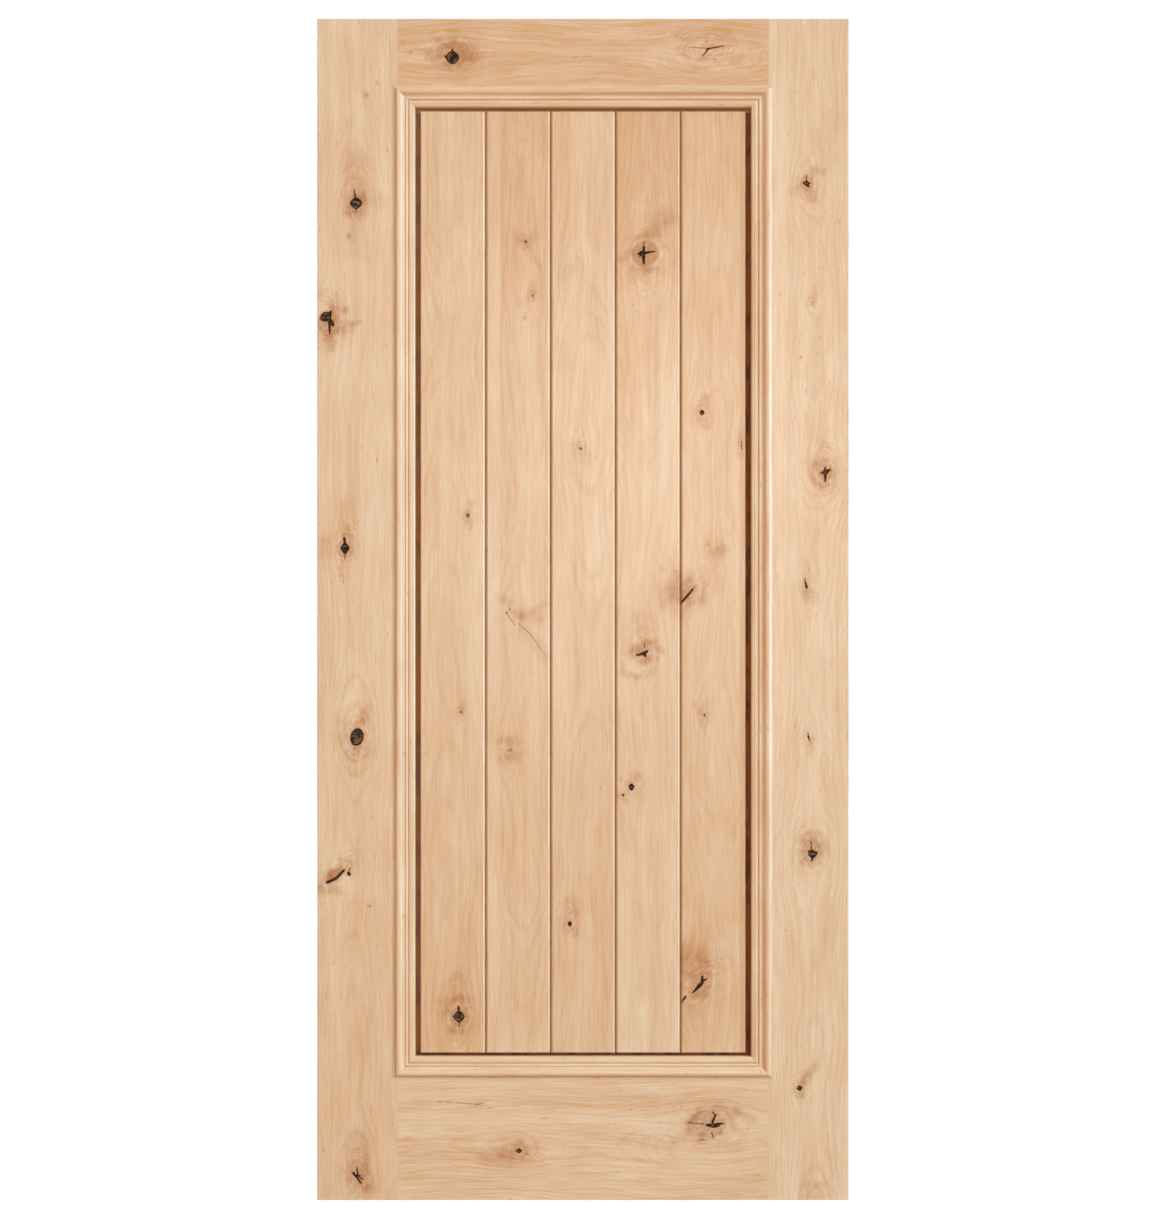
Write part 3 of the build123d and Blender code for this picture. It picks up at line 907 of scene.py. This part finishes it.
planks = [
    {"seed": 21, "tones": [(300, 0.34), (700, 0.04)],
     "pith": (222, 60), "taper": 0.010, "ring": 5.4,
     "knots": [
        knot(243.5, 314.5, core=(9.6, 10), square=1.5, halo=(26.5, 0.48), disc=(16.5, 0.36), shift=(1.5, 0),
             cracks=[(-0.5, 17, 3.4, -0.5, 8.5, 3.1), (-11, 1, 1.4, -5, 0, 5.2)],
             scars=[(0.5, -10.5, 2.4, 0.5, -17.5, 1.7)],
             stains=[(-10.5, 24, 5.2, 0, 31, 6.9, 0.5), (0, 31, 6.9, 14, 27.5, 5.2, 0.4),
                     (0, 41.5, 10.3, 0, 65.5, 13.8, 0.22), (-31, 20.5, 10.3, -27.5, 10.5, 10.3, 0.3),
                     (-10.5, -20.5, 5.2, 3.5, -26, 5.2, 0.35), (-17, 3.5, 2.4, -15.5, -8.5, 2.4, -0.4)]),
        knot(259.0, 1178.1, sound=True, core=(3.4, 4.1), halo=(11, 0.4),
             stains=[(1.5, 10.5, 3.4, 5, 20.5, 5.2, 0.3), (0, -10.5, 3.4, 1.5, -20.5, 5.2, 0.25)]),
        knot(246.9, 839.2, sound=True, core=(2.1, 2.2), halo=(9, 0.34),
             stains=[(1.5, 7, 3.4, 3.5, 15.5, 3.4, 0.22)]),
     ]},
    {"seed": 22, "tones": [(600, -0.1), (1000, 0.03), (1500, 0.03), (1750, 0.3)],
     "pith": (352, 52), "taper": -0.011, "ring": 5.0, "staves": [(314.5, 0.14)],
     "knots": [
        knot(358.7, 1649.5, sound=True, core=(3.1, 2.4), tilt=-30, halo=(13.5, 0.4),
             stains=[(0, 3.5, 8.6, 14, 10.5, 6.9, 0.25), (3.5, -5, 2.1, 24, -44.5, 2.1, 0.3),
                     (-7, 3.5, 5.2, -14, 10.5, 6.9, 0.2)]),
        knot(370.7, 1556.6, sound=True, core=(1.9, 2.1), halo=(9, 0.4),
             stains=[(0, 7, 3.4, 1.5, 15.5, 3.4, 0.22)]),
        knot(356.1, 1517.9, sound=True, core=(0.9, 1), halo=(5, 0.34)),
        knot(334.6, 1011.2, halo=(18, 0.17), shift=(5, 0),
             scars=[(-3.5, 5.5, 2.8, -3, 5, 2.8), (-9.5, -0.5, 3.1, -9.5, -1, 2.8),
                    (-9.5, -1.5, 1.5, 6, -23, 1), (11.5, -19.5, 1, 32.5, -38.5, 1.2),
                    (32.5, -38.5, 1.2, 59.5, -77.5, 0.9)],
             stains=[(-3.5, 5, 2.6, 14, -7, 3.4, 0.35), (14, -5, 5.2, 44.5, -8.5, 10.3, 0.32),
                     (-14, 24, 6.9, -8.5, 17, 5.2, 0.35), (17, -20.5, 5.2, 58.5, -77.5, 10.3, 0.18),
                     (34.5, 3.5, 3.4, 58.5, 14, 3.4, 0.22)]),
        knot(332.0, 775.5, halo=(19, 0.3),
             scars=[(-5, -3.5, 1.2, 1.5, 1, 1), (0, -5, 1, 3.5, 0, 1)],
             stains=[(-16, 14, 5.2, 12, 15, 5.2, 0.28), (-14, -15.5, 6, 10, -17, 6.9, 0.28)]),
     ]},
    {"seed": 23, "tones": [(400, 0.26), (950, -0.02), (1500, -0.02), (1750, 0.1)],
     "pith": (470, 64), "taper": 0.009, "ring": 5.6,
     "knots": [
        knot(453.2, 1293.4, sound=True, core=(3.4, 2.2), tilt=-25, halo=(13.5, 0.29),
             stains=[(-5, 8.5, 3.4, 0, 5, 3.4, 0.3), (3.5, -8.5, 5.2, 12, -10.5, 5.2, 0.25)]),
        knot(434.3, 474.5, core=(3.3, 4.3), halo=(15.5, 0.41),
             stains=[(3.5, 14, 8.6, 3.5, 34.5, 13.8, 0.25), (0, -10.5, 5.2, 7, -17, 6.9, 0.25)]),
        knot(437.7, 1599.6, halo=(18, 0.25)),
     ]},
    {"seed": 24, "tones": [(400, 0.0), (950, 0.08), (1240, -0.03), (1750, 0.6)],
     "pith": (561, 58), "taper": -0.010, "ring": 5.2, "staves": [(589.5, -0.08)],
     "knots": [
        knot(561.4, 1627.1, halo=(36, 0.34), disc=(21.5, 0.78), oval=(1.08, -60), shift=(3, 1.5),
             cracks=[(-0.5, 1.5, 5.5, 0.5, 14, 2.8), (-0.5, 1.5, 6.5, 0.5, -15.5, 2.4),
                     (-1, 1.5, 5.5, -8.5, 1.5, 3.4), (-1, 2.5, 4.8, 20, 6, 1),
                     (-1.5, 2.5, 3.4, -6, 6, 1.7), (-1.5, 1, 3.4, -6.5, -2.5, 1.7)],
             scars=[(0.5, 14, 2.8, 1, 21.5, 2.1)],
             stains=[(-7, 24, 5.2, 3.5, 34.5, 6.9, 0.38), (3.5, 34.5, 6.9, 20.5, 39.5, 5.2, 0.3),
                     (32.5, 62, 15.5, 41.5, 65.5, 13.8, 0.42), (24, 38, 10.3, 31, 55, 13.8, 0.2),
                     (-38, -7, 5.2, -20.5, 5, 3.4, 0.35), (-17, -22.5, 3.4, 14, -24, 3.4, 0.36),
                     (-5, -29, 5.2, 7, -29, 5.2, 0.28), (20.5, -27.5, 5.2, 31, -31, 5.2, 0.2),
                     (24, -10.5, 8.6, 38, -3.5, 8.6, -0.25)]),
        knot(559.7, 942.4, halo=(22, 0.34),
             cracks=[(-10.5, -5.5, 1.4, 1.5, -2.5, 5.8), (1.5, -2.5, 5.8, 8, 1.5, 3.1),
                     (3, -3, 4.5, 5, -7, 2.8)],
             scars=[(3.5, 15.5, 2.1, 4, 8.5, 2.1)],
             stains=[(-15.5, 0, 5.2, 3.5, 10.5, 8.6, 0.6), (3.5, 15.5, 2.8, 20.5, 19, 2.8, 0.5),
                     (20.5, 8.5, 3.4, 34.5, 3.5, 5.2, 0.35), (10.5, -10.5, 3.4, 24, -10.5, 3.4, 0.4),
                     (0, -17, 2.4, 7, -15.5, 2.4, 0.45), (-34.5, -20.5, 2.6, -34.5, -34.5, 2.6, 0.25),
                     (-34.5, -34.5, 2.6, -10.5, -43, 2.6, 0.25), (-10.5, -43, 2.6, 20.5, -31, 2.6, 0.22),
                     (-24, -20.5, 8.6, -3.5, -27.5, 8.6, -0.2), (0, 27.5, 8.6, -1.5, 58.5, 12, 0.25)]),
        knot(540.5, 710.2, core=(4.6, 5.7), square=1.6, halo=(15.5, 0.32),
             stains=[(-17, 14, 2.4, -5, 8.5, 2.4, 0.35), (-20.5, -14, 2.6, -10.5, -24, 3.4, 0.35),
                     (3.5, 12, 3.4, 10.5, 20.5, 5.2, 0.2)]),
        knot(526.4, 696.4, core=(1.7, 1.9), halo=(5.5, 0.34)),
        knot(621.4, 1054.4, halo=(34, 0.5), oval=(1.3, 0),
             stains=[(-24, -14, 8.6, -3, 4, 12, 0.25), (-24, -30, 5.2, -3.5, -20, 5.2, 0.22)]),
     ]},
    {"seed": 25, "tones": [(400, 0.32), (700, 0.1), (1240, 0.14), (1750, 0.34)],
     "pith": (690, 62), "taper": 0.010, "ring": 5.2, "staves": [(727.5, 0.5)],
     "knots": [
        knot(661.8, 1355.3, core=(4.1, 4.1), halo=(13.5, 0.41),
             stains=[(3.5, 14, 6.9, 7, 24, 6.9, 0.3), (1.5, -14, 5.2, 5, -20.5, 6.9, 0.3)]),
        knot(635.3, 1037.0, halo=(22, 0.46), disc=(9.5, 0.42), oval=(2.2, -46), shift=(6, 8),
             cracks=[(-10.5, -11.5, 2.1, 0, 1, 3.4), (0, 1, 3.4, 10.5, 13, 2.4)],
             scars=[(10.5, 13, 2.1, 15.5, 19, 1)],
             stains=[(-7, 14, 8, 7, 31, 8, 0.45), (8, -10, 7, 24, -6, 7, 0.35),
                     (27.5, -3.5, 5.2, 31, 7, 5.2, 0.25)]),
        knot(666.3, 834.0, sound=True, core=(2.1, 2.4), halo=(11, 0.4),
             stains=[(-7, 7, 5.2, -14, 15.5, 5.2, 0.3), (0, -8.5, 3.4, 1.5, -17, 3.4, 0.2)]),
        knot(657.7, 367.8, halo=(31, 0.29), disc=(15.5, 0.2), oval=(1.8, -40), shift=(1.5, 1.5),
             cracks=[(-12, -12.5, 1.4, -1.5, -1.5, 5.8), (-1.5, -1.5, 6.2, 4, 5, 5.8),
                     (4, 5, 5.2, 5, 16, 2.8), (4, 7, 3.8, 12, 11.5, 1.7), (-24, -19, 3.1, -27.5, -24, 2.8)],
             scars=[(-27.5, -24, 2.4, -32, -30.5, 1.7)],
             stains=[(-27.5, 55, 15.5, -7, 55, 13.8, 0.45), (-26, 34.5, 13.8, -10.5, 27.5, 12, 0.42),
                     (8.5, 38, 8.6, 12, 26, 8.6, 0.45), (-27.5, 44.5, 2.8, -7, 41.5, 2.8, -0.45),
                     (-5, 41.5, 2.8, 0, 20.5, 2.8, -0.4), (5, -17, 5.2, 14, -3.5, 5.2, 0.35)]),
        knot(673.1, 1128.9, sound=True, core=(0.9, 1.2), halo=(5.5, 0.34)),
        knot(690.3, 1116.2, halo=(13.5, 0.34),
             stains=[(-10.5, -3.5, 5.2, 7, 3.5, 5.2, 0.35)]),
        knot(729.8, 1302.0, halo=(5.5, 0.34),
             scars=[(0, 3.5, 2.1, 1, -10.5, 1.7)],
             stains=[(0, 14, 3.4, 0, -20.5, 3.4, 0.3)]),
     ]},
]


# Painted shade in the V of the seams and in the recess round the field, and a painted highlight on the bevels
recess = {
    "bevelSteps": (0.08, 0.45, 0.68, 1.0),    # points down the bevel, as shares of it
    "start": 1.75,                            # depth below the face where the shade starts, in millimetres
    "fade": 0.85,                             # depth over which it grows
    "bevelGlint": (0.2, 1.8, 0.6),                 # from and to which depth the bevel is paler as a painted highlight, and by how much
    "margin": 1.0,                            # how near the field's edges its own strength holds
    "seams": 0.78, "sides": 1.0, "left": 0.86, "foot": 1.0, "head": 0.48,
}


def plankEdge(seam, outward, kind, reach):
    # points of one long edge from front to back: bevel or arris, then tongue, groove or rim
    lip = joinery["fieldArris"] if kind == "rim" else joinery["bevel"]
    (tipGap, sideGap), (long, thick) = joinery["tongueSlack"], joinery["tongue"]
    thin, tip = thick / 2, seam + long
    if kind == "rim":
        thin, tip = halfFlange, reach
    elif kind == "groove":
        thin, tip = thin + sideGap, tip + tipGap
    drops = [share * lip for share in recess["bevelSteps"]]
    half = [(seam - outward * (lip - drop), -halfPanel + drop) for drop in drops]
    half = half + [(seam, -thin), (tip, -thin)]
    return half + [(across, -deep) for across, deep in reversed(half)], lip


def plankEnds(stations):
    # past each end of the field the plank is squeezed to its rim
    arris = joinery["fieldArris"]
    along = np.concatenate(([footTip, fieldFoot, fieldFoot], stations, [fieldHead, fieldHead, headTip]))
    inside = np.full(len(stations), noLimit)
    chamfer = halfPanel - arris
    deepLimit = np.concatenate(([halfFlange, halfFlange, chamfer], inside, [chamfer, halfFlange, halfFlange]))
    wide = np.full(len(along), noLimit)
    return along, deepLimit, -wide, wide


def plankShade(across, deep, along):
    # painted shade darkens smoothly towards the bottom of the V, by where in the recess it lies; the upper
    # bevel is paler as a painted highlight
    below = halfPanel - np.abs(deep)
    share = np.clip((below - recess["start"]) / recess["fade"], 0, 1)
    share = share * share * (3 - 2 * share)
    margin = recess["margin"]
    edges = [along > fieldHead - margin, along < fieldFoot + margin, across < fieldLeft + margin,
             np.abs(across - fieldMiddle) > fieldHalf - margin]
    names = ("head", "foot", "left", "sides")
    share = share * np.select(edges, [recess[name] for name in names], recess["seams"])
    start, end, change = recess["bevelGlint"]
    return share, change * ((below > start) & (below < end))


def plankLoop(columns, leftEdge, rightEdge):
    return joinLoop(columns, np.full(len(columns), -halfPanel), rightEdge, leftEdge[::-1])


for number, plank in enumerate(planks, 1):
    leftSeam = fieldLeft + (number - 1) * pitch
    rightSeam = leftSeam + pitch
    leftKind = "rim" if number == 1 else "groove"
    rightKind = "rim" if number == len(planks) else "tongue"
    leftEdge, leftLip = plankEdge(leftSeam, -1, leftKind, boxMm("plank_1")[0][0])
    rightEdge, rightLip = plankEdge(rightSeam, 1, rightKind, boxMm("plank_5")[1][0])
    plank.update(node=f"plank_{number}", slot="panel_wood", shade=plankShade, sway=3.0, swayLength=800,
                 heave=9, heaveLength=1200, columns=(leftSeam + leftLip, rightSeam - rightLip))
    span = (fieldFoot + joinery["fieldArris"], fieldHead - joinery["fieldArris"])
    makeBoard(plank, lambda columns: plankLoop(columns, leftEdge, rightEdge), span, plankEnds)


# Raised mouldings

mouldingProfile = {
    "lap": 8.0, "toe": 0.6, "slope": 9.5, "crest": 5.5, "ogee": 12.0, "foot": 1.2, "bead": (3.5, 1.1),
    "quirk": (2.5, 1.2), "lip": (6.0, 0.7), "innerRound": (5.0, 4.0), "steps": 9, "station": 45.0,
    "shadeFloor": 5.5,    # depth below the foot where the shade of the inner wall is full
}
mouldingGrain = {
    "seed": 40, "staves": [], "knots": [], "figure": 1.0, "sway": 1.2, "swayLength": 700, "pith": (12, -60),
    "taper": 0.006, "heave": 4, "heaveLength": 900, "ring": 5.0,
}


def twoArcs(start, end, steps):
    # two equal arcs that meet halfway, level at both ends
    half, drop = (end[0] - start[0]) / 2, end[1] - start[1]
    radius = (half**2 + (drop / 2) ** 2) / abs(drop)
    reach = np.linspace(0, half, steps)
    sag = math.copysign(1, drop) * (radius - np.sqrt(radius**2 - reach**2))
    across = np.append(start[0] + reach, end[0] - reach[-2::-1])
    return across, np.append(start[1] + sag, end[1] - sag[-2::-1])


def archOver(start, wide, rise, base, steps):
    # circular arch of given width and rise over a base line
    radius = (wide * wide / 4 + rise * rise) / (2 * rise)
    u = np.linspace(0, wide, steps)
    return start + u, base + np.sqrt(radius**2 - (u - wide / 2) ** 2) - (radius - rise)


def mouldingLoop(shape):
    # outer slope, ogee, bead, V quirk, low lip and inner round, closed behind by the rebate
    steps = shape["steps"]
    crest = (shape["slope"], shape["crest"])
    beadStart = shape["slope"] + shape["ogee"]
    quirkStart = beadStart + shape["bead"][0]
    lipStart = quirkStart + shape["quirk"][0]
    roundStart = lipStart + shape["lip"][0]
    wide, fall = shape["innerRound"]
    radius = (wide**2 + fall**2) / (2 * wide)
    across = np.linspace(0, wide, steps)
    turnIn = shape["foot"] - fall + np.sqrt(np.maximum(radius**2 - (across - wide + radius) ** 2, 0))
    seat = -(halfLeaf - halfFlange - joinery["seatGap"])
    members = [
        ([0.0], [0.0]),
        twoArcs((0, shape["toe"]), crest, steps),
        twoArcs(crest, (beadStart, shape["foot"]), steps),
        archOver(beadStart, *shape["bead"], shape["foot"], steps),
        ([quirkStart + shape["quirk"][0] / 2], [shape["foot"] - shape["quirk"][1]]),
        archOver(lipStart, *shape["lip"], shape["foot"], steps),
        (roundStart + across, turnIn),
        ([roundStart + wide, shape["lap"], shape["lap"]], [seat, seat, 0.0]),
    ]
    loop = np.concatenate([np.stack(member, axis=-1) for member in members])
    apart = np.linalg.norm(np.diff(loop, axis=0, prepend=loop[-1:]), axis=1) > 1e-6    # drops doubles
    return loop[apart][::-1].T


def mouldingShade(start, strength):
    # darkens down the inner round and wall, from a depth below the lip
    def shadeAt(across, deep, along):
        under = mouldingProfile["foot"] - start - deep
        share = np.clip(under / (mouldingProfile["shadeFloor"] - start), 0, 1)
        return strength * share * (across > mouldingProfile["lap"]), 0.0
    return shadeAt


def makeMoulding(node, order, face, outerMiddle, inward, halfLength, shade, tone):
    # stations run from mitre to mitre: the run shortens by the distance in from the outer edge
    u, v = mouldingLoop(mouldingProfile)
    inward, outward = np.array(inward), np.array((0.0, face, 0.0))
    alongWay = np.cross(inward, outward)
    count = int(2 * halfLength / mouldingProfile["station"]) + 2
    share = np.linspace(-1, 1, count)[:, None]
    run = share * (halfLength - u[None, :])
    across = u[None, :] + np.zeros(run.shape)
    deep = v[None, :] + np.zeros(run.shape)
    base = np.array(outerMiddle) + halfLeaf * outward
    points = base + across[..., None] * inward + deep[..., None] * outward + run[..., None] * alongWay
    board = {**mouldingGrain, "tones": [(0, tone)], "shade": mouldingShade(*shade)}
    board["seed"] = board["seed"] + order
    fields = timberFields(across, deep, run, True, board)
    mesh = sweepMesh(f"{node}_timber", points, fields, 1)
    finishPiece(f"{node}_timber", mesh, node)


mouldLeft, mouldRight = mouldLow[0], boxMm("front_moulding_right")[1][0]
mouldFoot, mouldHead = sillMouldLow[2], boxMm("front_moulding_top")[1][2]
middleX, middleZ = (mouldLeft + mouldRight) / 2, (mouldFoot + mouldHead) / 2
halfWide, halfHigh = (mouldRight - mouldLeft) / 2, (mouldHead - mouldFoot) / 2
# each run: its outer edge's middle, the way in, half its length, start and strength of its shade, and its tone
runs = [
    ("left", (mouldLeft, 0, middleZ), (1.0, 0, 0), halfHigh, (4.0, 0.9), -0.04),
    ("right", (mouldRight, 0, middleZ), (-1.0, 0, 0), halfHigh, (1.0, 1.0), -0.04),
    ("bottom", (middleX, 0, mouldFoot), (0, 0, 1.0), halfWide, (4.0, 1.0), -0.04),
    ("top", (middleX, 0, mouldHead), (0, 0, -1.0), halfWide, (4.0, 0.5), 0.18),
]
for sideName, face in (("front", -1.0), ("back", 1.0)):
    for order, (runName, *run) in enumerate(runs):
        makeMoulding(f"{sideName}_moulding_{runName}", order, face, *run)
print("mouldings made")


# Floor, light and camera

studio = {
    "floorHalf": 9.0, "floorDrop": 0.0005, "floorRoughness": 0.9,
    "floorTone": (0.30, 0.30, 0.30, 1.0), "floorGlow": 0.81,    # to the camera
    "bounceTone": (0.50, 0.30, 0.16, 1.0),                      # to the leaf
    "sky": 0.50, "skyTone": (1.0, 0.66, 0.40, 1.0),
    # suns: strength, tone and where they stand; lamps: strength, tone, size, place and turn
    "keySun": (2.71, (0.63, 1.0, 1.23), (0.72, -0.64, 0.55)), "sunSoft": 26.0,
    "backSun": (2.15, (0.68, 0.97, 1.15), (-0.30, 0.93, 0.20)),
    "frontLamp": (34.0, (1.0, 0.90, 0.80), (1.0, 1.0), (0.75, -4.4, 1.55), 0.0),
    "stripLamp": (150.0, (0.63, 1.0, 1.23), (0.9, 2.4), (5.10, -0.95, 1.45), 78.0),
    "distance": 4.2, "frameHigh": 2.0970, "sensor": 36.0,
}
middle = (leafLow + leafHigh) / 2 * mm
black, white = (0, 0, 0, 1), (1, 1, 1, 1)


def makeFloor():
    half = studio["floorHalf"]
    mesh = bpy.data.meshes.new("studioFloor")
    side = np.array((-half, half))
    x, y = np.meshgrid(side + middle[0], side)
    corners = np.stack((x, y, np.full(x.shape, -studio["floorDrop"])), axis=-1).reshape(-1, 3)
    mesh.from_pydata(corners.tolist(), [], [(0, 1, 3, 2)])
    paint = Finish(bpy.data.materials.new("paleFloor"))
    onCamera = paint.onCamera()
    glow = paint.blend(onCamera, black, white)
    seen = paint.blend(onCamera, studio["bounceTone"], studio["floorTone"])
    paint.feed(Base_Color=seen, Roughness=studio["floorRoughness"])
    paint.feed(Emission_Color=glow, Emission_Strength=studio["floorGlow"])
    mesh.materials.append(paint.owner)
    floor = putInScene("studioFloor", mesh)


def makeSky():
    # white to the camera, dim and warm to everything else
    sky = Finish(bpy.data.worlds.new("studioSky"), "Background")
    onCamera = sky.onCamera()
    level = studio["sky"] + (1 - studio["sky"]) * onCamera
    sky.feed(Color=sky.blend(onCamera, studio["skyTone"], white), Strength=level)
    bpy.context.scene.world = sky.owner


def makeLamp(name, kind, strength, tone, turn, place=(0, 0, 0)):
    lamp = bpy.data.lights.new(name, kind)
    lamp.energy = strength
    lamp.color = tone
    lampObject = putInScene(name, lamp)
    lampObject.location = place
    lampObject.rotation_euler = turn
    return lampObject


def makeSun(name, strength, tone, come):
    towards = -np.array(come)
    yaw = math.atan2(towards[1], towards[0]) - math.pi / 2
    tip = math.acos(-towards[2] / np.linalg.norm(towards))
    lampObject = makeLamp(name, "SUN", strength, tone, (tip, 0, yaw))
    lampObject.data.angle = math.radians(studio["sunSoft"])


def makePanelLamp(name, strength, tone, size, place, yaw):
    # an upright lamp that looks level along +y, turned by yaw in degrees
    turn = (math.pi / 2, 0, math.radians(yaw))
    lampObject = makeLamp(name, "AREA", strength, tone, turn, place)
    lampObject.data.shape = "RECTANGLE"
    lampObject.data.size, lampObject.data.size_y = size
    return lampObject


def makeCamera():
    # square on to the leaf's middle; the frame's height at the front face sets the lens
    data = bpy.data.cameras.new("camera")
    data.sensor_width = studio["sensor"]
    data.lens = studio["sensor"] * studio["distance"] / studio["frameHigh"]
    camera = putInScene("camera", data)
    camera.location = (middle[0], -halfLeaf * mm - studio["distance"], middle[2])
    camera.rotation_euler = (math.pi / 2, 0, 0)
    bpy.context.scene.camera = camera


makeFloor()
makeSky()
makeSun("keyLight", *studio["keySun"])
makeSun("backLight", *studio["backSun"])
makePanelLamp("frontLight", *studio["frontLamp"])    # its sheen pales the middle
strip = makePanelLamp("stripLight", *studio["stripLamp"])
strip.visible_diffuse = False    # only the thin sheen down the mouldings
makeCamera()
bpy.context.scene.view_settings.view_transform = "Standard"
print("studio set")
